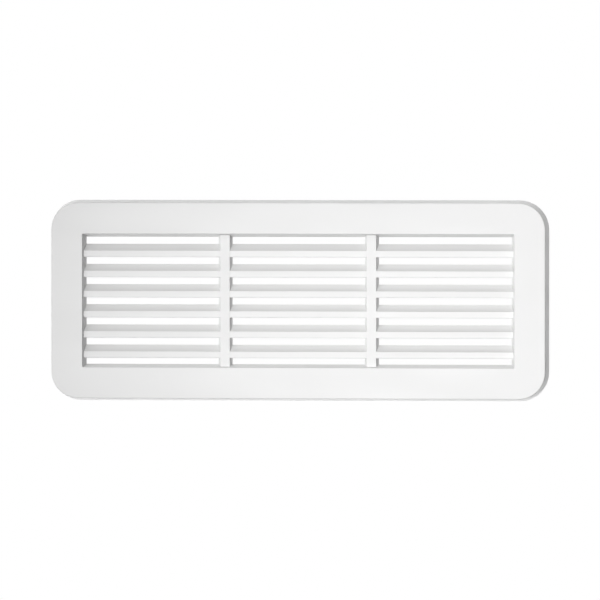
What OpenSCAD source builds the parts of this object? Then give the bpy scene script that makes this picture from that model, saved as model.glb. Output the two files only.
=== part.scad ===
// Louvred air grille for a 229 x 76 mm (9 x 3 in) wall opening.
// A white moulded fascia with a ladder of slanted blades behind its face plate
// clips on four springs into a shallow wall frame.
// Origin: centre of the wall plane. +X right, +Y into the wall, +Z up.

/* [Fascia] */
// Overall width, measured at the wall
fascia_w = 254; // [244:1:300]
// Overall height, measured at the wall
fascia_h = 102; // [100:1:112]
// How far the front face stands off the wall
fascia_depth = 12; // [11:0.5:14]
// Radius of the four outer corners at the wall
corner_r = 15; // [8:0.5:20]
// How far each side of the rim leans in between the wall and the face
rim_lean = 1.3; // [0.4:0.1:2]
// Thickness of the face plate
face_t = 2.2; // [1.8:0.1:2.6]
// Thickness of the rim wall where it meets the face plate
rim_t = 2; // [1.4:0.1:2.4]

/* [Louvre opening] */
// Width of the opening at the front face
opening_w = 220; // [210:1:220]
// Height of the opening at the front face
opening_h = 68; // [66:0.5:68]
// How far each side of the opening closes in from the face to the back of the blades
opening_lean = 1.7; // [1:0.1:1.8]

/* [Blades] */
// Blades in each bay
blade_count = 6; // [4:1:6]
// Depth of a blade from its front lip to its back edge
blade_depth = 4; // [3.5:0.1:4]
// Height of the upright front lip
lip_h = 3.3; // [2.8:0.1:3.4]
// Thickness of the upright front lip
lip_t = 1.2; // [1:0.1:1.4]
// How far the slanted web climbs behind the lip
blade_rise = 3.8; // [3.4:0.1:3.8]
// Upright thickness of the slanted web
web_t = 2; // [1.8:0.1:2.2]

/* [Mullions] */
// Width of a mullion at its front face
mullion_w = 4.8; // [4.4:0.1:6]
// How far each side of a mullion widens towards the back
mullion_lean = 1.3; // [0.8:0.1:1.4]

/* [Wall frame] */
// Width of the sleeve that enters the wall opening
sleeve_w = 227; // [226:0.5:228]
// Height of the sleeve that enters the wall opening
sleeve_h = 74; // [73.5:0.5:75]
// Reach of the sleeve into the wall
sleeve_depth = 25; // [20:1:40]
// Wall thickness of the sleeve
sleeve_t = 1.6; // [1.4:0.1:1.8]
// Width of the flange behind the fascia
flange_w = 243; // [242:0.5:243]
// Height of the flange behind the fascia
flange_h = 91; // [90.5:0.5:91]
// Thickness of the flange
flange_t = 2; // [1.6:0.1:2]
// Thickness of the foam gasket between the flange and the wall
gasket_t = 2; // [1.5:0.1:2]
// Diameter of the holes for the wall screws
wall_screw_d = 4.5; // [4:0.1:5]
// Distance between the wall screws across the width
wall_screw_dx = 210; // [200:1:214]
// Distance between the wall screws across the height
wall_screw_dz = 82; // [81.6:0.1:82.4]

/* [Springs and screws] */
// Thickness of the spring strip
spring_t = 0.5; // [0.3:0.1:0.5]
// Width of a spring clip
spring_w = 10; // [8:1:12]
// Distance from the middle of the grille to a spring clip
spring_x = 60; // [45:1:70]
// Distance from the middle of the grille up to a fixing screw
screw_z = 42; // [41.5:0.1:42.3]
// Diameter of the fixing screws
screw_d = 2.2; // [2:0.1:2.4]

/* [Hidden] */
BAYS = ["left", "middle", "right"];
$fn = 64;

white = "#f2f2f0";
wall_white = "#dcdcd8";
foam = "#4a4c4e";
steel = "#b4b8bc";

// Depths along Y: the front face, the face plate's back and the blades' back edges
front_y = -fascia_depth;
plate_y = front_y + face_t;
core_y = plate_y + blade_depth;
flange_y = -gasket_t - flange_t;
cut = 1;
fit = 0.1;

// The opening closes in by this much for each millimetre of depth
opening_slope = opening_lean / (core_y - front_y);
mullion_slope = mullion_lean / blade_depth;

// Ladder of rails behind the face plate
rail_t = 4;
rail_stock = rail_t + opening_lean + cut;
core_w = opening_w + 2 * rail_t;
core_h = opening_h + 2 * rail_t;

// Bays between the rails and mullions, at the front of the ladder
ladder_w = opening_w - 2 * opening_slope * face_t;
bay_w = (ladder_w - 2 * mullion_w) / 3;
mullion_x = (bay_w + mullion_w) / 2;

// Rows of blades: equal gaps above, between and below them
clear_h = opening_h - 2 * opening_lean;
blade_h = lip_h + blade_rise;
blade_gap = (clear_h - blade_count * blade_h) / (blade_count + 1);
blade_pitch = blade_h + blade_gap;

// Tenons at the blade ends and mullion ends
tenon_l = 1;
tenon_skin = 0.5;
tenon_from = 1.6;
tenon_to = 3.5;
mullion_tenon_w = 2.4;
mullion_tenon_h = 2;

// Lugs, bosses and screws that hold the ladder to the face plate
boss_d = 6;
boss_h = 1.6;
lug_w = 12;
lug_t = 1.6;
lug_margin = 3.2;
lug_top = screw_z + lug_margin;
lug_y = plate_y + boss_h;
foot_y = lug_y + lug_t;
screw_tip_skin = 0.8;
screw_head_d = 4.4;
screw_head_h = 1.3;
screw_l = foot_y + spring_t - front_y - screw_tip_skin - 2 * fit;
screw_slot_l = 3;
screw_slot_w = 0.6;
screw_slot_depth = 0.7;

// Spring strip: crosses the back of the rail, then runs into the sleeve to a hump just clear of its wall
spring_clearance = 0.3;
hump_z = sleeve_h / 2 - sleeve_t - spring_clearance - spring_t / 2;
leg_z = hump_z - 0.6;
tip_z = hump_z - 1;
leg_bend_y = 3;
hump_y = 8.5;
tip_y = 14;

// Grip ribs on the outside of the sleeve
rib_w = 2;
rib_h = 0.7;
rib_from = 4;
sleeve_r = 3;
flange_r = 10;
gasket_gap = 0.5;
gasket_hole_d = wall_screw_d + 0.7;
screw_head_room_d = 8.4;
screw_head_room_h = 1.2;

// ---------- shared shapes ----------

module rounded_rect(w, h, r) {
    square([w - 2 * r, h], center = true);
    square([w, h - 2 * r], center = true);
    for (x = [-1, 1], z = [-1, 1])
        translate([x * (w / 2 - r), z * (h / 2 - r)])
            circle(r);
}

// An upright outline in X and Z, given thickness between two depths
module plate(from_y, to_y)
    translate([0, to_y, 0])
        rotate([90, 0, 0])
            linear_extrude(to_y - from_y)
                children();

// A side profile in Y and Z, run along X between two places
module along_x(from_x, to_x)
    translate([from_x, 0, 0])
        rotate([90, 0, 90])
            linear_extrude(to_x - from_x)
                children();

// A plan profile in X and Y, run up Z and centred on the middle
module along_z(h)
    linear_extrude(h, center = true)
        children();

// Rounded block on the wall whose sides lean in towards the front
module leaning_block(w, h, r, depth, lean) {
    along_x(r - w / 2, w / 2 - r)
        polygon([[0, -h / 2], [0, h / 2], [-depth, h / 2 - lean], [-depth, lean - h / 2]]);
    along_z(h - 2 * r)
        polygon([[-w / 2, 0], [w / 2, 0], [w / 2 - lean, -depth], [lean - w / 2, -depth]]);
    for (x = [-1, 1], z = [-1, 1])
        translate([x * (w / 2 - r), 0, z * (h / 2 - r)])
            rotate([90, 0, 0])
                cylinder(h = depth, r1 = r, r2 = r - lean);
}

// Half of an opening dimension at a depth, with the walls' slope
function opening_half(size, y) = size / 2 - opening_slope * (y - front_y);

// Outline of the space between two facing walls of the opening, as [across, depth]
function opening_outline(size, from_y, to_y) = [
    [-opening_half(size, from_y), from_y], [opening_half(size, from_y), from_y],
    [opening_half(size, to_y), to_y], [-opening_half(size, to_y), to_y]
];

module between_sides(from_y, to_y)
    along_z(core_h + 2 * cut)
        polygon(opening_outline(opening_w, from_y, to_y));

module between_top_and_bottom(from_y, to_y)
    along_x(-core_w / 2 - cut, core_w / 2 + cut)
        polygon([for (p = opening_outline(opening_h, from_y, to_y)) [p[1], p[0]]]);

// A strip bent along a path of [y, z] points, with round bends
module bent_strip(path, t) {
    for (i = [0 : len(path) - 2]) {
        step = path[i + 1] - path[i];
        translate(path[i])
            rotate(atan2(step[1], step[0]))
                translate([0, -t / 2])
                    square([norm(step), t]);
    }
    for (point = path)
        translate(point)
            circle(d = t, $fn = 24);
}

// Places of the four screws that hold the ladder, as [x, z]
screw_places = [for (x = [-1, 1], z = [-1, 1]) [x * spring_x, z * screw_z]];

// ---------- fascia ----------

module face_frame() color(white) difference() {
    union() {
        difference() {
            leaning_block(fascia_w, fascia_h, corner_r, fascia_depth, rim_lean);
            plate(plate_y, cut)
                rounded_rect(
                    fascia_w - 2 * (rim_lean + rim_t),
                    fascia_h - 2 * (rim_lean + rim_t),
                    corner_r - rim_lean - rim_t);
            intersection() {
                between_sides(front_y - cut, plate_y + cut);
                between_top_and_bottom(front_y - cut, plate_y + cut);
            }
        }
        for (place = screw_places)
            translate([place[0], lug_y, place[1]])
                rotate([90, 0, 0])
                    cylinder(h = boss_h + face_t / 2, d = boss_d);
    }
    for (place = screw_places)
        translate([place[0], lug_y + cut, place[1]])
            rotate([90, 0, 0])
                cylinder(h = lug_y + cut - front_y - screw_tip_skin, d = screw_d + fit);
}

// Long rail over the blades, with lugs for the screws and mortises for the mullions
module long_rail() color(white) difference() {
    union() {
        plate(plate_y, core_y)
            translate([-core_w / 2, core_h / 2 - rail_stock])
                square([core_w, rail_stock]);
        for (x = [-spring_x, spring_x])
            plate(lug_y, foot_y)
                translate([x - lug_w / 2, opening_h / 2 + rail_t / 2])
                    square([lug_w, lug_top - opening_h / 2 - rail_t / 2]);
    }
    between_top_and_bottom(plate_y - cut, core_y + cut);
    for (x = [-mullion_x, mullion_x])
        translate([x, 0, 0])
            mullion_tenon(fit);
    for (x = [-spring_x, spring_x])
        translate([x, 0, screw_z])
            rotate([90, 0, 0])
                cylinder(h = 2 * fascia_depth, d = screw_d + 2 * fit, center = true);
}

module top_rail() long_rail();

module bottom_rail() mirror([0, 0, 1]) long_rail();

// Short rail at the blades' outer ends, with a mortise for each blade
module end_rail(side) color(white) difference() {
    intersection() {
        plate(plate_y, core_y)
            translate([side > 0 ? core_w / 2 - rail_stock : -core_w / 2, -core_h / 2])
                square([rail_stock, core_h]);
        between_top_and_bottom(plate_y - cut, core_y + cut);
    }
    between_sides(plate_y - cut, core_y + cut);
    for (row = [1 : blade_count])
        translate([0, 0, blade_z(row)])
            tenon_pair(0, ladder_w, fit);
}

module left_rail() end_rail(-1);

module right_rail() end_rail(1);

// Tenon at both ends of a mullion, standing in the long rails
module mullion_tenon(gap)
    translate([0, (plate_y + core_y) / 2, 0])
        cube([
            mullion_tenon_w + 2 * gap,
            blade_depth / 2 + 2 * gap,
            clear_h + 2 * (mullion_tenon_h + gap)
        ], center = true);

// Upright bar between two bays, wider at the back, with mortises on both sides
module mullion(x) color(white) difference() {
    union() {
        intersection() {
            along_z(core_h)
                polygon([
                    [x - mullion_w / 2, plate_y], [x + mullion_w / 2, plate_y],
                    [x + mullion_w / 2 + mullion_lean, core_y],
                    [x - mullion_w / 2 - mullion_lean, core_y]
                ]);
            between_top_and_bottom(plate_y - cut, core_y + cut);
        }
        translate([x, 0, 0])
            mullion_tenon(0);
    }
    for (row = [1 : blade_count])
        for (bay = [x - mullion_x, x + mullion_x])
            translate([0, 0, blade_z(row)])
                tenon_pair(bay, bay_w, fit);
}

module mullion_left() mullion(-mullion_x);

module mullion_right() mullion(mullion_x);

// ---------- blades ----------

// Height of a blade's lip centre; row 1 is the top one
function blade_z(row) =
    clear_h / 2 - blade_gap - blade_rise - lip_h / 2 - (row - 1) * blade_pitch;

// Height of the web's upper face above the lip centre, at a distance behind the lip
function web_top(d) = lip_h / 2 + blade_rise * d / blade_depth;

module blade_section()
    polygon([
        [plate_y, -lip_h / 2], [plate_y, lip_h / 2],
        [core_y, web_top(blade_depth)], [core_y, web_top(blade_depth) - web_t],
        [plate_y + lip_t, web_top(lip_t) - web_t], [plate_y + lip_t, -lip_h / 2]
    ]);

module tenon_section(gap)
    polygon([
        [plate_y + tenon_from - gap, web_top(tenon_from) - tenon_skin + gap],
        [plate_y + tenon_to + gap, web_top(tenon_to) - tenon_skin + gap],
        [plate_y + tenon_to + gap, web_top(tenon_to) - web_t + tenon_skin - gap],
        [plate_y + tenon_from - gap, web_top(tenon_from) - web_t + tenon_skin - gap]
    ]);

// One bar through a bay whose two ends are the blade's tenons
module tenon_pair(bay_x, width, gap)
    along_x(bay_x - width / 2 - tenon_l - gap, bay_x + width / 2 + tenon_l + gap)
        tenon_section(gap);

// Blade in one of the three bays; its ends follow the leaning walls beside it
module blade(bay, row) {
    bay_x = (bay - 1) * (bay_w + mullion_w);
    left_slope = bay == 0 ? opening_slope : mullion_slope;
    right_slope = bay == 2 ? opening_slope : mullion_slope;
    color(white) translate([0, 0, blade_z(row)]) {
        intersection() {
            along_x(bay_x - bay_w / 2 - cut, bay_x + bay_w / 2 + cut)
                blade_section();
            along_z(2 * (blade_h + cut))
                polygon([
                    [bay_x - bay_w / 2, plate_y], [bay_x + bay_w / 2, plate_y],
                    [bay_x + bay_w / 2 - right_slope * blade_depth, core_y],
                    [bay_x - bay_w / 2 + left_slope * blade_depth, core_y]
                ]);
        }
        tenon_pair(bay_x, bay_w, 0);
    }
}

// ---------- springs and screws ----------

// Spring clip: screwed foot, step over the rail's back and a leg that presses on the sleeve
module spring_clip(side_x, side_z) {
    foot_mid = foot_y + spring_t / 2;
    over_rail = core_h / 2 + spring_t / 2;
    behind_rail = core_y + spring_t / 2;
    color(steel) mirror([0, 0, side_z > 0 ? 0 : 1]) difference() {
        along_x(side_x * spring_x - spring_w / 2, side_x * spring_x + spring_w / 2)
            bent_strip([
                [foot_mid, lug_top], [foot_mid, over_rail], [behind_rail, over_rail],
                [behind_rail, leg_z], [leg_bend_y, leg_z], [hump_y, hump_z], [tip_y, tip_z]
            ], spring_t);
        translate([side_x * spring_x, 0, screw_z])
            rotate([90, 0, 0])
                cylinder(h = 2 * fascia_depth, d = screw_d + 2 * fit, center = true);
    }
}

module clip_top_left() spring_clip(-1, 1);

module clip_top_right() spring_clip(1, 1);

module clip_bottom_left() spring_clip(-1, -1);

module clip_bottom_right() spring_clip(1, -1);

// The four fixing screws, each through a spring foot and a lug into a boss
module core_screws() color(steel)
    for (place = screw_places)
        translate([place[0], foot_y + spring_t, place[1]])
            rotate([90, 0, 0])
                difference() {
                    union() {
                        translate([0, 0, -screw_head_h])
                            cylinder(h = screw_head_h, d = screw_head_d);
                        cylinder(h = screw_l, d = screw_d);
                    }
                    for (angle = [0, 90])
                        rotate(angle)
                            translate([0, 0, -screw_head_h])
                                cube([screw_slot_l, screw_slot_w, 2 * screw_slot_depth], center = true);
                }

// ---------- wall frame ----------

// Centres of the four wall screw holes, as [x, z]
wall_screw_places = [for (x = [-1, 1], z = [-1, 1]) [x * wall_screw_dx / 2, z * wall_screw_dz / 2]];

// Round holes along Y at the wall screws
module wall_holes(from_y, to_y, d_front, d_back)
    for (place = wall_screw_places)
        translate([place[0], to_y, place[1]])
            rotate([90, 0, 0])
                cylinder(h = to_y - from_y, d1 = d_back, d2 = d_front);

// Flange and sleeve in one moulding, with thin ribs that grip the wall opening
module wall_frame() color(wall_white) difference() {
    union() {
        plate(flange_y, -gasket_t)
            rounded_rect(flange_w, flange_h, flange_r);
        plate(flange_y, sleeve_depth)
            rounded_rect(sleeve_w, sleeve_h, sleeve_r);
        plate(rib_from, sleeve_depth) {
            for (x = [-spring_x, spring_x])
                translate([x, 0])
                    square([rib_w, sleeve_h + 2 * rib_h], center = true);
            square([sleeve_w + 2 * rib_h, rib_w], center = true);
        }
    }
    plate(flange_y - cut, sleeve_depth + cut)
        rounded_rect(sleeve_w - 2 * sleeve_t, sleeve_h - 2 * sleeve_t, sleeve_r - sleeve_t);
    wall_holes(flange_y - cut, cut, wall_screw_d, wall_screw_d);
    wall_holes(flange_y, flange_y + screw_head_room_h, screw_head_room_d, wall_screw_d);
}

// Foam ring pressed between the flange and the wall
module wall_gasket() color(foam) difference() {
    plate(-gasket_t, 0)
        rounded_rect(flange_w, flange_h, flange_r);
    plate(-gasket_t - cut, cut)
        rounded_rect(sleeve_w + 2 * gasket_gap, sleeve_h + 2 * gasket_gap, sleeve_r);
    wall_holes(-gasket_t - cut, cut, gasket_hole_d, gasket_hole_d);
}

face_frame();
top_rail();
bottom_rail();
left_rail();
right_rail();
mullion_left();
mullion_right();
for (bay = [0 : 2], row = [1 : blade_count])
    blade(bay, row);
clip_top_left();
clip_top_right();
clip_bottom_left();
clip_bottom_right();
core_screws();
wall_frame();
wall_gasket();
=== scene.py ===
# %% [markdown]
# # A louvred air grille
# A white moulded grille covers the end of an air duct in a wall. A flat fascia with a long opening
# carries three bays of slanted blades, and clips on four springs into a frame that stays on the wall.
# Its sizes could be copied into this file by hand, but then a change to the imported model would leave
# the file behind. So the model is loaded first and asked for places and sizes, and nothing in it is
# moved. Only what its boxes can't tell, such as the radius of an edge, is written here. Lengths are
# metres: x runs to the right, y back into the wall, and z up.

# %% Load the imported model
import math
import random

import bmesh
import bpy
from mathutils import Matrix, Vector


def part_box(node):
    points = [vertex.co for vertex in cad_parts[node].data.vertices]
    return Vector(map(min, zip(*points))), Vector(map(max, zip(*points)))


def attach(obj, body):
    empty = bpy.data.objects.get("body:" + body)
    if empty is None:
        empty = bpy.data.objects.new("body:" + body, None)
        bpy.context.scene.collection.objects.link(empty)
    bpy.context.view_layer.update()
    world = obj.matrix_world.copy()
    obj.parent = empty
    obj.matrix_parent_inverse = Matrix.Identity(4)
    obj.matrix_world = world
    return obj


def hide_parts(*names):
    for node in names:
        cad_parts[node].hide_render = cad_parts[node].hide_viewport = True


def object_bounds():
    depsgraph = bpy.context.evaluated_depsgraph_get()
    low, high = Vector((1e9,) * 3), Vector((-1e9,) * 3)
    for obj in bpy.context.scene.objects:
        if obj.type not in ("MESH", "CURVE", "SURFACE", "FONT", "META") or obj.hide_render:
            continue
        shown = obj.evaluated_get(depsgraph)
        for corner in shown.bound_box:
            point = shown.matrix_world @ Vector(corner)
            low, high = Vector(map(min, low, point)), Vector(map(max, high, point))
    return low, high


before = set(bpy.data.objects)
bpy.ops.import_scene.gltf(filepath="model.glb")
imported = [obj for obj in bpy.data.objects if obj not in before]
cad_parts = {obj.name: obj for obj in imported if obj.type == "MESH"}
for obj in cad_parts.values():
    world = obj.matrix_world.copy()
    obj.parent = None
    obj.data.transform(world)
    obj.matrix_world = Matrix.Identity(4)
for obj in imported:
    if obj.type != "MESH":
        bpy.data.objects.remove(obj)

CAD_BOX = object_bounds()

# %% [markdown]
# ## Reading the sizes
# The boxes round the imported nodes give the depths: the front of the face, the flat back of the face
# plate, and the back of the rails that carry the blades. The walls of the opening lean, so it is
# smaller behind than in front. The right rail is as tall as the opening at the plate, and the top
# rail reaches down to its edge at the back, which gives the slope of its walls.

# %% Depths and the opening
MM = 0.001
FACE_LOW, FACE_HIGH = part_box("face_frame")
RAIL_LOW, RAIL_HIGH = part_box("right_rail")
FRONT_Y = FACE_LOW.y
PLATE_Y = RAIL_LOW.y
BACK_Y = RAIL_HIGH.y

HALF_H_AT_PLATE = RAIL_HIGH.z
HALF_H_AT_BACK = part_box("top_rail")[0].z
HALF_W_AT_BACK = RAIL_LOW.x
OPENING_SLOPE = (HALF_H_AT_PLATE - HALF_H_AT_BACK) / (BACK_Y - PLATE_Y)


def opening_half_w(y):
    return HALF_W_AT_BACK + OPENING_SLOPE * (BACK_Y - y)


def opening_half_h(y):
    return HALF_H_AT_BACK + OPENING_SLOPE * (BACK_Y - y)


opening_size = (2 * opening_half_w(FRONT_Y), 2 * opening_half_h(FRONT_Y))
print("opening at the face, mm:", [round(size / MM, 2) for size in opening_size])

# %% [markdown]
# ## Bays and rows
# Two mullions split the opening into three bays. The ends of a blade go into its neighbours as hidden
# tenons, so a bay is one tenon narrower on each side than the box of its blade. The gap between two
# bays is the face of a mullion. The sides of a mullion lean, so its box is wider than its face, and
# the difference gives the slope of its sides.

# %% The bays and the mullions between them
TENON = 1 * MM
BAYS = ("left", "middle", "right")
ROWS = range(1, 1 + sum(name.startswith("blade_left_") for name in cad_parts))


def bay_edges(bay):
    """Where a bay starts and ends across the grille, at the front of the blades."""
    low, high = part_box(f"blade_{bay}_1")
    return low.x + TENON, high.x - TENON


MULLION_FACE = bay_edges("middle")[0] - bay_edges("left")[1]
MULLION_LOW, MULLION_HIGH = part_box("mullion_right")
MULLION_SLOPE = (MULLION_HIGH.x - MULLION_LOW.x - MULLION_FACE) / 2 / (BACK_Y - PLATE_Y)
print("bays, mm:", [[round(edge / MM, 2) for edge in bay_edges(bay)] for bay in BAYS])
print("mullion face, mm:", round(MULLION_FACE / MM, 2), "rows:", len(ROWS))

# %% [markdown]
# ## Rounding a section
# All the white parts are mouldings: one section with small rounded edges, led round or along a path.
# A bevel on a finished block could round the edges too, but a section drawn with its own radii lets
# each edge have the radius that its mould gave it. This helper turns sharp corners into short arcs.

# %% Round the corners of a section
ARC_STEPS = 5


def rounded(corners, closed=True):
    """Turns corners given as (u, v, radius) into a path of points with round corners."""
    path = []
    last = len(corners) - 1
    for index, (u, v, radius) in enumerate(corners):
        corner = Vector((u, v))
        at_end = not closed and index in (0, last)
        if at_end or radius == 0:
            path.append(corner)
            continue
        before = (Vector(corners[index - 1][:2]) - corner).normalized()
        after = (Vector(corners[(index + 1) % len(corners)][:2]) - corner).normalized()
        half_angle = before.angle(after) / 2
        middle = corner + (before + after).normalized() * radius / math.sin(half_angle)
        start = corner + before * radius / math.tan(half_angle) - middle
        end = corner + after * radius / math.tan(half_angle) - middle
        for step in range(ARC_STEPS + 1):
            path.append(middle + radius * start.slerp(end, step / ARC_STEPS))
    return path


square = [(0, 0, 0.1), (1, 0, 0.1), (1, 1, 0.1), (0, 1, 0.1)]
print("points on a rounded square:", len(rounded(square)))

# %% [markdown]
# ## Joining rings into a skin
# A section set down at several places gives a row of rings, and faces between each ring and the next
# make the skin of a solid. A curve with a bevel profile sweeps a section too, but it can't lean the
# ends of a bar, and rings of plain points can. A bar gets flat ends with sharp edges. The rings of
# the fascia meet their own beginning, like the rings of a tyre, so it needs no ends.

# %% Join rings into a skin
def skin(mesh, rings, ring_of_rings=False):
    """Joins each ring of points to the next with four-sided faces, and closes open ends flat."""
    rows = [[mesh.verts.new(point) for point in ring] for ring in rings]
    following = rows[1:] + (rows[:1] if ring_of_rings else [])
    for row, next_row in zip(rows, following):
        for index in range(len(row)):
            after = (index + 1) % len(row)
            mesh.faces.new((row[index], row[after], next_row[after], next_row[index]))
    if ring_of_rings:
        return
    for end in (rows[0], rows[-1]):
        for edge in mesh.faces.new(end).edges:
            edge.smooth = False


trial_mesh = bmesh.new()
skin(trial_mesh, [[(0, y, 0), (1, y, 0), (0, y, 1)] for y in (0, 1)])
print("faces on a three-sided bar:", len(trial_mesh.faces))
trial_mesh.free()

# %% [markdown]
# ## Making a piece
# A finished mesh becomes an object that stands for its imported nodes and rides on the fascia's body,
# so it goes along when the fascia is pulled off the wall. Weighted normals keep the wide faces flat
# to the eye and let only the small arcs shade round. A subdivision modifier could smooth the arcs as
# well, but it would need many more faces.

# %% Turn a mesh into a piece that rides on its body
scene = bpy.context.scene


def make_piece(name, mesh, slot, *stands_for):
    """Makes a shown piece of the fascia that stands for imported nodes."""
    bmesh.ops.recalc_face_normals(mesh, faces=mesh.faces)
    for face in mesh.faces:
        face.smooth = True
    data = bpy.data.meshes.new(name)
    mesh.to_mesh(data)
    mesh.free()
    piece = bpy.data.objects.new(name, data)
    scene.collection.objects.link(piece)
    shading = piece.modifiers.new("flat_faces_stay_flat", "WEIGHTED_NORMAL")
    shading.keep_sharp = True
    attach(piece, "fascia")
    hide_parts(*stands_for)
    return piece


# %% [markdown]
# ## The section of the fascia
# The real fascia is one shot of white plastic: a face plate with a rim that leans in from the wall,
# so that it leaves its mould easily. The edge round its face is crisp, with a radius of half a
# millimetre. A boolean cut through a rounded block would leave long thin faces that shade badly. So
# the section is drawn instead. It runs from the hollow behind, round the foot of the rim, up the
# outside and over the face into the opening. A narrow strip beside each end of a path lies flat, and
# keeps the wide face that follows it flat too.

# %% Section of the fascia, as insets from its outline at the wall
RIM_LEAN = 1.3 * MM
RIM_WALL = 2.0 * MM
HOLLOW = RIM_LEAN + RIM_WALL
EDGE = 0.5 * MM
FOOT_EDGE = 0.3 * MM
HOLLOW_EDGE = 0.6 * MM
OPENING_EDGE = 0.25 * MM
PLATE_EDGE = 0.12 * MM
HOLLOW_STRIP = 1.5 * MM
FACE_STRIP = 1.2 * MM
OPENING_FRONT_STRIP = 1.0 * MM
OPENING_BACK_STRIP = 0.8 * MM

rim_section = rounded([
    (HOLLOW + HOLLOW_STRIP, PLATE_Y, 0),
    (HOLLOW, PLATE_Y, HOLLOW_EDGE),
    (HOLLOW, 0, FOOT_EDGE),
    (0, 0, FOOT_EDGE),
    (RIM_LEAN, FRONT_Y, EDGE),
    (RIM_LEAN + FACE_STRIP, FRONT_Y, 0),
], closed=False)
opening_section = rounded([
    (OPENING_FRONT_STRIP, FRONT_Y, 0),
    (0, FRONT_Y, OPENING_EDGE),
    (OPENING_SLOPE * (FRONT_Y - PLATE_Y), PLATE_Y, PLATE_EDGE),
    (OPENING_BACK_STRIP, PLATE_Y, 0),
], closed=False)
print("points in the rim's section:", len(rim_section))
print("points in the opening's section:", len(opening_section))

# %% [markdown]
# ## Rings round the fascia
# Every point of the section becomes one ring round the whole grille: a rectangle with round corners.
# At the rim the radius of a corner shrinks by the same amount as the ring is inset, so all the rings
# share their corner centres and the rim is equally wide all the way round.

# %% Lead the section round the grille
CORNER_STEPS = 14
WALL_CORNER = 15 * MM
OPENING_CORNER = 0.5 * MM
QUARTERS = ((1, 1), (-1, 1), (-1, -1), (1, -1))


def outline(half_w, half_h, radius, y):
    """One ring round the grille: a rectangle with round corners at one depth."""
    points = []
    for quarter, (side, rise) in enumerate(QUARTERS):
        for step in range(CORNER_STEPS + 1):
            angle = math.pi / 2 * (quarter + step / CORNER_STEPS)
            x = side * (half_w - radius) + radius * math.cos(angle)
            z = rise * (half_h - radius) + radius * math.sin(angle)
            points.append(Vector((x, y, z)))
    return points


fascia_rings = [
    outline(FACE_HIGH.x - inset, FACE_HIGH.z - inset, WALL_CORNER - inset, y)
    for inset, y in rim_section
]
fascia_rings += [
    outline(opening_half_w(FRONT_Y) + out, opening_half_h(FRONT_Y) + out, OPENING_CORNER, y)
    for out, y in opening_section
]
print("rings:", len(fascia_rings), "points on each:", len(fascia_rings[0]))

# %% [markdown]
# ## Bosses, and the whole fascia
# Four bosses stand on the back of the plate, each with a pilot hole that a screw cuts its thread in.
# A cylinder with a boolean hole would do, but a turned section is only one more row of rings, and
# gives the boss its spread foot and soft edges as well. It starts a little way inside the plate, so
# that no gap can show round its foot.

# %% Turn a boss at each screw, and finish the fascia
SCREW_HEAD_R = 2.2 * MM
SCREWS_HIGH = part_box("core_screws")[1]
SCREW_X = SCREWS_HIGH.x - SCREW_HEAD_R
SCREW_Z = SCREWS_HIGH.z - SCREW_HEAD_R
CIRCLE_STEPS = 32

BOSS_R = 3 * MM
BOSS_TOP_R = 2.95 * MM
BOSS_FOOT_R = 3.5 * MM
BOSS_TOP_Y = PLATE_Y + 1.6 * MM
BOSS_SINK = 0.1 * MM
PILOT_R = 1.15 * MM
BOSS_FOOT_EDGE = 0.3 * MM
BOSS_EDGE = 0.25 * MM
PILOT_EDGE = 0.15 * MM
boss_section = rounded([
    (BOSS_FOOT_R, PLATE_Y - BOSS_SINK, 0),
    (BOSS_R, PLATE_Y + BOSS_SINK, BOSS_FOOT_EDGE),
    (BOSS_TOP_R, BOSS_TOP_Y, BOSS_EDGE),
    (PILOT_R, BOSS_TOP_Y, PILOT_EDGE),
    (PILOT_R, PLATE_Y, 0),
], closed=False)


def circle(middle_x, middle_z, radius, y):
    """A ring of points round a screw."""
    turns = [2 * math.pi * step / CIRCLE_STEPS for step in range(CIRCLE_STEPS)]
    return [
        Vector((middle_x + radius * math.cos(turn), y, middle_z + radius * math.sin(turn)))
        for turn in turns
    ]


def fascia():
    mesh = bmesh.new()
    skin(mesh, fascia_rings, ring_of_rings=True)
    for x in (-SCREW_X, SCREW_X):
        for z in (-SCREW_Z, SCREW_Z):
            skin(mesh, [circle(x, z, radius, y) for radius, y in boss_section])
    return make_piece("fascia_face", mesh, "fascia_plastic", "face_frame")


white_pieces = [fascia()]
print("faces on the fascia:", len(white_pieces[0].data.polygons))

# %% [markdown]
# ## Bars between leaning walls
# Mullions and blades are both straight bars, and their ends follow the leaning walls beside them. So
# one helper makes both. It takes the section, and two functions that say where the bar starts and
# ends at each depth. A stretched cube could be cut to length instead, but a moulded bar is never
# quite straight: each one bows by its own small amount, and the stations along it carry the bow.

# %% A bowed bar with leaning ends
BAR_STATIONS = 12


def bar_rings(section, start, end, bow):
    """Rings of (along, y, across) from a section of (y, across). Start and end depend on y."""
    rings = []
    for station in range(BAR_STATIONS + 1):
        share = station / BAR_STATIONS
        sag = bow * math.sin(math.pi * share)
        rings.append([
            (start(y) + (end(y) - start(y)) * share, y, across + sag)
            for y, across in section
        ])
    return rings


trial_bar = bar_rings([(0, 0), (1, 0)], lambda y: y, lambda y: 10 - y, 0)
print("ends of a trial bar, front and back:", trial_bar[0], trial_bar[-1])

# %% [markdown]
# ## Mullions
# The mullions carry the inner ends of the blades and lie flush with their lips. Each has two leaning
# sides, narrow in front and wide behind, so it could be a tapered block with its edges bevelled. It
# is led as a bar because the front edges are crisper than the back ones, and its ends lean too.

# %% Mullions
MULLION_FRONT_EDGE = 0.15 * MM
MULLION_BACK_EDGE = 0.4 * MM
MULLION_BOW = 0.03 * MM


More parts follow.
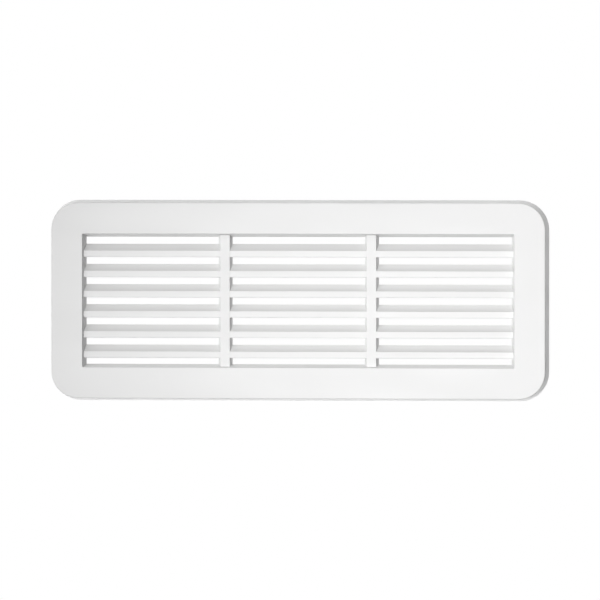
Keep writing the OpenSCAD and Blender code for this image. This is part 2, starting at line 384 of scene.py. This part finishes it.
def mullion(side, bow):
    low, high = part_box(f"mullion_{side}")
    middle = (low.x + high.x) / 2
    front, back = MULLION_FACE / 2, (high.x - low.x) / 2
    section = rounded([
        (PLATE_Y, middle - front, MULLION_FRONT_EDGE),
        (PLATE_Y, middle + front, MULLION_FRONT_EDGE),
        (BACK_Y, middle + back, MULLION_BACK_EDGE),
        (BACK_Y, middle - back, MULLION_BACK_EDGE),
    ])
    mesh = bmesh.new()
    rings = bar_rings(section, lambda y: -opening_half_h(y), opening_half_h, bow)
    skin(mesh, [[Vector((across, y, z)) for z, y, across in ring] for ring in rings])
    return make_piece(f"mullion_bar_{side}", mesh, "fascia_plastic", f"mullion_{side}")


white_pieces += [mullion("left", -MULLION_BOW), mullion("right", MULLION_BOW)]
print("faces on a mullion:", len(white_pieces[-1].data.polygons))

# %% [markdown]
# ## The section of a blade
# A blade has an upright lip along its front and a web that climbs backwards, so that nobody looks
# straight into the duct. The front of the web is a shallow scoop, and it fades from light at the
# back to darker by the lip. A colour gradient on a flat web could fake the fade for one light only,
# but a curved web fades by itself in any light. The web climbs at nearly 45 degrees, so the scoop
# goes back by as much as it goes down.

# %% Section of a blade
LIP_H = 3.3 * MM
LIP_T = 1.2 * MM
WEB_T = 2.0 * MM
LIP_EDGE = 0.3 * MM
BACK_EDGE = 0.18 * MM
LIP_TO_WEB_EDGE = 0.4 * MM
WEB_HOLLOW = 0.4 * MM
WEB_STEPS = 5


def hollow_web(bottom, top):
    """Points up the front of the web, between the top of the lip and the back edge."""
    points = []
    for step in range(1, WEB_STEPS):
        share = step / WEB_STEPS
        dip = WEB_HOLLOW * 4 * share * (1 - share) / math.sqrt(2)
        y = PLATE_Y + (BACK_Y - PLATE_Y) * share
        points.append((y + dip, bottom + (top - bottom) * share - dip, 0))
    return points


def blade_section(low_z, high_z):
    """The section as (y, z), between the bottom of the lip and the top of the web."""
    lip_top = low_z + LIP_H
    web_rise = (high_z - lip_top) / (BACK_Y - PLATE_Y)
    return rounded([
        (PLATE_Y, low_z, LIP_EDGE),
        (PLATE_Y, lip_top, LIP_EDGE),
        *hollow_web(lip_top, high_z),
        (BACK_Y, high_z, BACK_EDGE),
        (BACK_Y, high_z - WEB_T, BACK_EDGE),
        (PLATE_Y + LIP_T, lip_top + web_rise * LIP_T - WEB_T, LIP_TO_WEB_EDGE),
        (PLATE_Y + LIP_T, low_z, LIP_EDGE),
    ])


print("points in a blade's section:", len(blade_section(0, 7 * MM)))

# %% [markdown]
# ## Blades
# Each bay holds a stack of blades that differ only in height and in the walls beside them. Linked
# copies of one mesh would be lighter, but the walls of the opening lean less than the sides of a
# mullion, and each blade has its own seeded bow of up to a twentieth of a millimetre. So each is led
# anew.

# %% Blades
MOST_BOW = 0.05 * MM
BOW_SEED = 9
bows = random.Random(BOW_SEED)


def blade(bay, row):
    low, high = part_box(f"blade_{bay}_{row}")
    starts, ends = bay_edges(bay)
    start_slope = OPENING_SLOPE if bay == "left" else MULLION_SLOPE
    end_slope = OPENING_SLOPE if bay == "right" else MULLION_SLOPE
    mesh = bmesh.new()
    skin(mesh, bar_rings(
        blade_section(low.z, high.z),
        lambda y: starts + start_slope * (y - PLATE_Y),
        lambda y: ends - end_slope * (y - PLATE_Y),
        bows.uniform(-MOST_BOW, MOST_BOW),
    ))
    return make_piece(f"louvre_{bay}_{row}", mesh, "blade_plastic", f"blade_{bay}_{row}")


blades = [blade(bay, row) for bay in BAYS for row in ROWS]
print("blades:", len(blades), "faces on one:", len(blades[0].data.polygons))

# %% [markdown]
# ## The parts behind the face
# The rails, springs, screws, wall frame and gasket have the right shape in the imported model, so they
# stay. Real edges are never knife-sharp: a small bevel on each edge gives it a line of light. The
# parts could be drawn again with round edges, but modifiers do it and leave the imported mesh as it
# is. Weld joins the points that the file format keeps apart, bevel rounds the edges, and weighted
# normals keep the flat faces flat to the eye.

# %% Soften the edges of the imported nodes
SAME_POINT = 0.001 * MM
CREASE = math.radians(35)
RAILS = [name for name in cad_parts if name.endswith("_rail")]
SPRINGS = [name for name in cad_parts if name.startswith("clip_")]
SOFT_EDGE = {"wall_frame": 0.25 * MM, "wall_gasket": 0.4 * MM, "core_screws": 0.12 * MM}
SOFT_EDGE.update({name: 0.12 * MM for name in RAILS})
SOFT_EDGE.update({name: 0.1 * MM for name in SPRINGS})
for node, width in SOFT_EDGE.items():
    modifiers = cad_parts[node].modifiers
    weld = modifiers.new("join_split_points", "WELD")
    weld.merge_threshold = SAME_POINT
    soften = modifiers.new("soft_edges", "BEVEL")
    soften.width = width
    soften.segments = 2
    soften.limit_method = "ANGLE"
    soften.angle_limit = CREASE
    shading = modifiers.new("flat_faces_stay_flat", "WEIGHTED_NORMAL")
    shading.keep_sharp = True
print("packed nodes with softened edges:", len(SOFT_EDGE))

# %% [markdown]
# ## Writing shaders as sums
# A finish is a small tree of nodes. Building it link by link hides the idea, so one class wraps the
# output of a node, and plain Python sums on it add the Math nodes. The reflected operators let a
# number stand first, as in 1 - wire. Every other node comes from the add method, which sets the
# node's own settings first and then its sockets.

# %% A wire between nodes
class Wire:
    """The output of a shader node. Sums on it make Math nodes, and add() makes any other node."""

    def __init__(self, tree, socket=None):
        self.tree = tree
        self.socket = socket

    def add(self, kind, settings=None, sockets=None, output=0):
        """Adds a node whose sockets hold plain values or wires, and gives one of its outputs."""
        node = self.tree.nodes.new(kind)
        for name, value in (settings or {}).items():
            setattr(node, name, value)
        for name, value in (sockets or {}).items():
            if isinstance(value, Wire):
                self.tree.links.new(value.socket, node.inputs[name])
            else:
                node.inputs[name].default_value = value
        return Wire(self.tree, node.outputs[output] if node.outputs else None)

    def math_node(self, operation, first, second):
        return self.add("ShaderNodeMath", {"operation": operation}, {0: first, 1: second})

    def __add__(self, other):
        return self.math_node("ADD", self, other)

    def __radd__(self, other):
        return self.math_node("ADD", other, self)

    def __sub__(self, other):
        return self.math_node("SUBTRACT", self, other)

    def __rsub__(self, other):
        return self.math_node("SUBTRACT", other, self)

    def __mul__(self, other):
        return self.math_node("MULTIPLY", self, other)

    def __rmul__(self, other):
        return self.math_node("MULTIPLY", other, self)

    def __pow__(self, other):
        return self.math_node("POWER", self, other)

    def held(self):
        """The same value, kept between 0 and 1."""
        return self.add("ShaderNodeClamp", None, {"Value": self})


# %% [markdown]
# ## Starting a finish
# A new material comes with a ready-made shader. Changing that one would work too, but a finish that
# starts from an empty tree has only the nodes that this file names. A short trial shows what a sum
# leaves in the tree, and is thrown away again.

# %% Start a finish, and try a sum
def new_finish(name):
    """A material with an empty tree, and the wire that its nodes are added from."""
    material = bpy.data.materials.new(name)
    material.use_nodes = True
    material.node_tree.nodes.clear()
    return material, Wire(material.node_tree)


trial_finish, trial_nodes = new_finish("trial")
(1 - 2 * trial_nodes.add("ShaderNodeTexNoise")).held()
print("nodes behind a sum:", [node.bl_idname for node in trial_finish.node_tree.nodes])
bpy.data.materials.remove(trial_finish)

# %% [markdown]
# ## Patterns that the finishes share
# A painted image would need a flat map of every part and would blur close up. Noise that is read at
# the point's own place needs no map, is sharp at any distance, and has a size in metres, so each
# pattern is as large as it is on the real part. Edges that stick out are found by their pointiness.

# %% Shared patterns
FLAT_POINTINESS = 0.5


def place_on(nodes, stretch=(1, 1, 1)):
    """Where a point is, in metres. A stretch below 1 draws patterns out along that axis."""
    place = nodes.add("ShaderNodeTexCoord", output="Object")
    return nodes.add("ShaderNodeVectorMath", {"operation": "MULTIPLY"}, {0: place, 1: stretch})


def mottle(nodes, place, size, detail=2.0):
    """Noise from 0 to 1 with blotches of the given size in metres."""
    return nodes.add(
        "ShaderNodeTexNoise", None, {"Vector": place, "Scale": 1 / size, "Detail": detail})


def rubbed_edges(nodes, sharpness):
    """Towards 1 along the arrises that hands and cloths rub, 0 on flat faces."""
    pointiness = nodes.add("ShaderNodeNewGeometry", output="Pointiness")
    return ((pointiness - FLAT_POINTINESS) * sharpness).held()


print("blotches of 1 mm that fit across the face:", round(2 * FACE_HIGH.x / MM))

# %% [markdown]
# ## Closing a finish
# All the finishes end alike: colours are blended, fine relief becomes a bump, and one Principled
# shader takes them. Real displacement could move the surface, but relief as fine as this would need
# millions of faces. A Mix node has inputs for every kind of data, so the places of its colour sockets
# get names here.

# %% Colours, relief and the shader
MIX_SHARE = 0
MIX_FIRST_COLOUR = 6
MIX_SECOND_COLOUR = 7
MIX_COLOUR_OUT = 2


def blend(nodes, share, first, second):
    """A colour between two, by a share from 0 to 1."""
    return nodes.add(
        "ShaderNodeMix", {"data_type": "RGBA"},
        {MIX_SHARE: share, MIX_FIRST_COLOUR: first, MIX_SECOND_COLOUR: second},
        output=MIX_COLOUR_OUT)


def relief(nodes, height, strength, distance):
    """A bump whose height runs from 0 to 1 over a distance in metres."""
    return nodes.add(
        "ShaderNodeBump", None, {"Height": height, "Strength": strength, "Distance": distance})


def finish_with(nodes, sockets):
    """Closes a finish: one Principled shader with these sockets, led to the output."""
    shader = nodes.add("ShaderNodeBsdfPrincipled", None, sockets)
    nodes.add("ShaderNodeOutputMaterial", None, {"Surface": shader})


def describe(material):
    print(material.name, "nodes:", len(material.node_tree.nodes))


# %% [markdown]
# ## White moulded plastic
# The fascia and blades are a hard white plastic with a satin face. Up close it has three textures: a
# fine grain from the etched mould, a slow orange-peel wave where the plastic shrank, and faint flow
# marks that run along the part. The edges are rubbed a little smoother, and the upper sides hold a
# breath of dust. One plain colour would look like paper, so each of these is its own noise at its
# real size. One function makes the satin fascia, the blades and the flatter wall frame, because only
# the numbers differ.

# %% White plastic
GRAIN = 0.35 * MM
ORANGE_PEEL = 2.6 * MM
FLOW_MARK = 9 * MM
CLOUD = 30 * MM
RUB_PATCH = 4 * MM
DUST_PATCH = 1.6 * MM
DEEPEST_SHADE = 0.965
PLASTIC_IOR = 1.49
DUST_COLOUR = (0.62, 0.61, 0.59, 1.0)
RUBBED_COLOUR = (0.70, 0.70, 0.69, 1.0)


def white_plastic(name, white, roughness, grain_depth, flow=(1, 1, 1)):
    """A moulded white. The grain depth is in hundredths of a millimetre, and flow is a stretch."""
    material, nodes = new_finish(name)
    place = place_on(nodes)
    flow_marks = mottle(nodes, place_on(nodes, flow), FLOW_MARK, detail=3.0)
    cloud = mottle(nodes, place, CLOUD)
    grain = mottle(nodes, place, GRAIN, detail=3.0)
    peel = mottle(nodes, place, ORANGE_PEEL, detail=1.0)
    rubbed = rubbed_edges(nodes, sharpness=4.0) * mottle(nodes, place, RUB_PATCH, detail=3.0)
    facing = nodes.add("ShaderNodeTexCoord", output="Normal")
    upward = nodes.add("ShaderNodeSeparateXYZ", None, {"Vector": facing}, output="Z").held()
    dust = upward * mottle(nodes, place, DUST_PATCH, detail=5.0)
    shade = (cloud * 0.5 + flow_marks * 0.3 + grain * 0.2).held()
    deep = tuple(DEEPEST_SHADE * part for part in white) + (1.0,)
    clean = blend(nodes, shade, deep, tuple(white) + (1.0,))
    dusty = blend(nodes, dust * 0.10, clean, DUST_COLOUR)
    gloss = roughness + (flow_marks - 0.5) * 0.10 + (grain - 0.5) * 0.08
    height = grain * grain_depth + peel * (4 * grain_depth)
    finish_with(nodes, {
        "Base Color": blend(nodes, rubbed * 0.22, dusty, RUBBED_COLOUR),
        "Roughness": (gloss - rubbed * 0.12 + dust * 0.18).held(),
        "IOR": PLASTIC_IOR,
        "Normal": relief(nodes, height, strength=0.6, distance=0.01 * MM),
    })
    describe(material)
    return material


satin_white = white_plastic(
    "satin_white_plastic", white=(0.80, 0.80, 0.798),
    roughness=0.42, grain_depth=1.0, flow=(0.2, 1, 1))
blade_white = white_plastic(
    "blade_white_plastic", white=(0.79, 0.79, 0.788),
    roughness=0.40, grain_depth=1.0, flow=(0.12, 1, 1))
wall_white = white_plastic(
    "matt_wall_frame_plastic", white=(0.70, 0.70, 0.685),
    roughness=0.58, grain_depth=2.2)

# %% [markdown]
# ## Foam
# The gasket is closed-cell foam, cut from sheet, so its faces show cells cut open. They could be
# modelled in the mesh, but there are many thousands of them. A Voronoi pattern draws cells with walls:
# its distance is low in the middle of a cell and high at the walls. Two sizes of it, added together,
# look less even than one.

# %% Dark foam
LARGE_CELL = 0.6 * MM
SMALL_CELL = 0.22 * MM
SKIN_PATCH = 1.2 * MM
FOAM_CLOUD = 14 * MM
FOAM_DARK = (0.012, 0.0125, 0.013, 1)
FOAM_PALE = (0.045, 0.046, 0.048, 1)


def foam_cells(nodes, place, size):
    return nodes.add("ShaderNodeTexVoronoi", None, {"Vector": place, "Scale": 1 / size})


def cell_foam():
    material, nodes = new_finish("gasket_foam_cells")
    place = place_on(nodes)
    patches = mottle(nodes, place, SKIN_PATCH)
    cloud = mottle(nodes, place, FOAM_CLOUD, detail=3.0)
    large = foam_cells(nodes, place, LARGE_CELL)
    small = foam_cells(nodes, place, SMALL_CELL)
    walls = (large * 0.7 + small * 0.4).held()
    finish_with(nodes, {
        "Base Color": blend(nodes, (walls * 0.6 + cloud * 0.5).held(), FOAM_DARK, FOAM_PALE),
        "Roughness": (0.86 + patches * 0.12).held(),
        "Normal": relief(nodes, walls, strength=0.8, distance=0.15 * MM),
    })
    describe(material)
    return material


foam = cell_foam()

# %% [markdown]
# ## Metal
# A spring is cut from bright rolled strip, which keeps fine scratches along the rolling direction.
# The screws are zinc plated: a pale metal with a cloudy bluish and straw-coloured film. Scratches
# could be an image, but noise drawn out along some axes and squeezed along another gives fine lines
# that never repeat.

# %% Spring strip and plated screws
SCRATCH = 0.5 * MM
FILM_CLOUD = 3 * MM
WORN_METAL = (0.80, 0.80, 0.79, 1)


def metal(name, pale, dark, roughness, stretch):
    """A bright metal with scratches drawn out by a stretch."""
    material, nodes = new_finish(name)
    lines = mottle(nodes, place_on(nodes, stretch), SCRATCH, detail=4.0)
    cloud = mottle(nodes, place_on(nodes), FILM_CLOUD, detail=3.0)
    rubbed = rubbed_edges(nodes, sharpness=5.0)
    film = blend(nodes, (cloud * 0.7 + lines * 0.3).held(), dark, pale)
    finish_with(nodes, {
        "Base Color": blend(nodes, rubbed * 0.5, film, WORN_METAL),
        "Metallic": 1.0,
        "Roughness": (roughness + (lines - 0.5) * 0.22 - rubbed * 0.08).held(),
        "Normal": relief(nodes, lines, strength=0.5, distance=0.01 * MM),
    })
    describe(material)
    return material


spring_strip = metal(
    "bright_spring_strip", pale=(0.66, 0.67, 0.69, 1), dark=(0.50, 0.50, 0.51, 1),
    roughness=0.30, stretch=(6, 0.12, 0.12))
plated_screw = metal(
    "zinc_plated_screw", pale=(0.72, 0.73, 0.76, 1), dark=(0.62, 0.60, 0.52, 1),
    roughness=0.36, stretch=(1, 5, 1))

# %% [markdown]
# ## Giving out the finishes
# The rails are moulded from the same white plastic as the fascia, so they share its finish. A packed
# node already has a material slot, so the slot is pointed at the new finish. The built pieces have
# none yet, and get their first.

# %% Give every piece its finish
FINISH = {"wall_frame": wall_white, "wall_gasket": foam, "core_screws": plated_screw}
FINISH.update({name: satin_white for name in RAILS})
FINISH.update({name: spring_strip for name in SPRINGS})
for node, material in FINISH.items():
    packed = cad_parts[node]
    for holder in packed.material_slots:
        holder.material = material
for piece in white_pieces:
    piece.data.materials.append(satin_white)
for piece in blades:
    piece.data.materials.append(blade_white)
print("pieces with a finish:", len(FINISH) + len(white_pieces) + len(blades))

# %% [markdown]
# ## Floor
# A pale floor lies below the grille, to give views from above a ground. Only the camera sees it: a
# floor that threw light back would light the grille from below, and the world already does that
# with a lobe of its own. The floor is to be as pale as the backdrop, and a stronger lamp would light
# the grille too, so the floor glows a little instead.

# %% Pale floor
FLOOR_DROP = 0.25
FLOOR_X = 3.0
FLOOR_FRONT, FLOOR_BACK = -3.0, 2.0
FLOOR_CLOUD = 60 * MM
FLOOR_GREY = (0.80, 0.80, 0.80, 1)
FLOOR_PALE = (0.86, 0.86, 0.86, 1)
TABLE_GLOW = 0.5


def floor_finish():
    material, nodes = new_finish("pale_floor")
    cloud = mottle(nodes, place_on(nodes), FLOOR_CLOUD, detail=4.0)
    colour = blend(nodes, cloud, FLOOR_GREY, FLOOR_PALE)
    finish_with(nodes, {
        "Base Color": colour,
        "Roughness": 0.8 + (cloud - 0.5) * 0.1,
        "Emission Color": colour,
        "Emission Strength": TABLE_GLOW,
    })
    describe(material)
    return material


def pale_floor():
    z = CAD_BOX[0].z - FLOOR_DROP
    front = [(-FLOOR_X, FLOOR_FRONT), (FLOOR_X, FLOOR_FRONT)]
    back = [(FLOOR_X, FLOOR_BACK), (-FLOOR_X, FLOOR_BACK)]
    mesh = bmesh.new()
    mesh.faces.new([mesh.verts.new((x, y, z)) for x, y in front + back])
    data = bpy.data.meshes.new("floor")
    mesh.to_mesh(data)
    mesh.free()
    data.materials.append(floor_finish())
    floor = bpy.data.objects.new("floor", data)
    floor.visible_diffuse = False
    floor.visible_glossy = False
    floor.visible_shadow = False
    scene.collection.objects.link(floor)


pale_floor()

# %% [markdown]
# ## A soft world of lobes
# The grille hangs in front of a bright white backdrop, so much of its light comes from behind and
# through the gaps. More comes from the left than from the right: walls that face left are bright, and
# walls that face right are the darkest parts. Large area lamps could do this, but a world of soft
# lobes needs no lamps that might get into a view. Each lobe has a direction and a strength, and
# fades away from its direction as a power of the cosine. The camera itself sees plain white.

# %% A soft world of lobes
LOBES = {
    (-1, -1, 0): 1.5,      # in front, on the left
    (0, -1, 1): 1.35,      # in front, above
    (0, 0, -1): 1.05,      # below
    (-1, 1, 0): 0.5,       # behind, on the left
    (-1, 1, -1): 0.8,      # behind, on the left and below
    (0, 1, 0): 2.7,        # straight behind
    (0, 1, 1): 0.75,       # behind, above
}
LOBE_SHARPNESS = 6
WHITE = (1, 1, 1, 1)


def lobe(nodes, direction, side, strength):
    """Light that is strongest from one side of the world."""
    facing = nodes.add(
        "ShaderNodeVectorMath", {"operation": "DOT_PRODUCT"},
        {0: direction, 1: Vector(side).normalized()}, output="Value")
    return facing.held() ** LOBE_SHARPNESS * strength


def soft_world():
    world = bpy.data.worlds.new("soft_studio")
    world.use_nodes = True
    world.node_tree.nodes.clear()
    nodes = Wire(world.node_tree)
    direction = nodes.add("ShaderNodeTexCoord", output="Generated")
    light = sum(lobe(nodes, direction, side, strength) for side, strength in LOBES.items())
    glow = nodes.add("ShaderNodeBackground", None, {"Color": WHITE, "Strength": light})
    backdrop = nodes.add("ShaderNodeBackground", None, {"Color": WHITE, "Strength": 1.0})
    seen = nodes.add("ShaderNodeLightPath", output="Is Camera Ray")
    both = nodes.add("ShaderNodeMixShader", None, {0: seen, 1: glow, 2: backdrop})
    nodes.add("ShaderNodeOutputWorld", None, {"Surface": both})
    scene.world = world


soft_world()
print("lobes of light:", len(LOBES))

# %% [markdown]
# ## A soft lamp in front
# The face is brightest to the right of its middle. It darkens slowly towards the left end, and hardly
# at all towards the right end. An even light would leave it flat. A lamp three metres away with a
# wide soft edge to its cone draws the fall: the cone is only about twice as wide as the grille, so
# most of the face lies in its fading edge.

# %% A lamp with a soft cone
LAMP_RADIUS = 0.25


def stand_back(holder, middle, back, distance):
    """Puts a lamp or camera at a distance from a middle, in the direction back, and turns it there."""
    holder.location = middle + back * distance
    holder.rotation_mode = "QUATERNION"
    holder.rotation_quaternion = (-back).to_track_quat("-Z", "Y")
    scene.collection.objects.link(holder)


def soft_lamp(name, turn, distance, middle, spread, power):
    """A round lamp, turned left of square by an angle in degrees, that points at a middle."""
    lamp = bpy.data.lights.new(name, "SPOT")
    lamp.spot_size = math.radians(spread)
    lamp.spot_blend = 1.0
    lamp.shadow_soft_size = LAMP_RADIUS
    lamp.energy = power
    angle = math.radians(turn)
    back = Vector((-math.sin(angle), -math.cos(angle), 0))
    stand_back(bpy.data.objects.new(name, lamp), Vector(middle), back, distance)
    print("cone at the face, m:", round(2 * distance * math.tan(lamp.spot_size / 2), 2))


soft_lamp("front_lamp", turn=5, distance=3.0, middle=(0.067, 0, -0.03), spread=9.6, power=328)

# %% [markdown]
# ## Camera
# The camera stands a little to the right of square and a little above, so that the right and top
# sides of the rim show as thin bands. From close by, the near end of the grille would look larger
# than the far end. A long lens from five metres away keeps the rows level and equal. The lens
# follows from the distance and from how much of the wall fits across the picture.

# %% Camera
AZIMUTH = math.radians(5.0)
ELEVATION = math.radians(1.5)
DISTANCE = 5.0
WALL_ACROSS = 0.3046
SENSOR = 36
AIM_RIGHT = 0.6 * MM
AIM_UP = 0.34 * MM

camera_data = bpy.data.cameras.new("camera")
camera_data.sensor_width = SENSOR
camera_data.lens = SENSOR * DISTANCE / WALL_ACROSS
camera = bpy.data.objects.new("camera", camera_data)
towards_camera = Vector((
    math.sin(AZIMUTH) * math.cos(ELEVATION),
    -math.cos(AZIMUTH) * math.cos(ELEVATION),
    math.sin(ELEVATION),
))
middle_of_rim = CAD_BOX[0].y / 2
stand_back(camera, Vector((AIM_RIGHT, middle_of_rim, AIM_UP)), towards_camera, DISTANCE)
scene.camera = camera
scene.view_settings.view_transform = "Standard"
print("lens, mm:", round(camera_data.lens, 1))
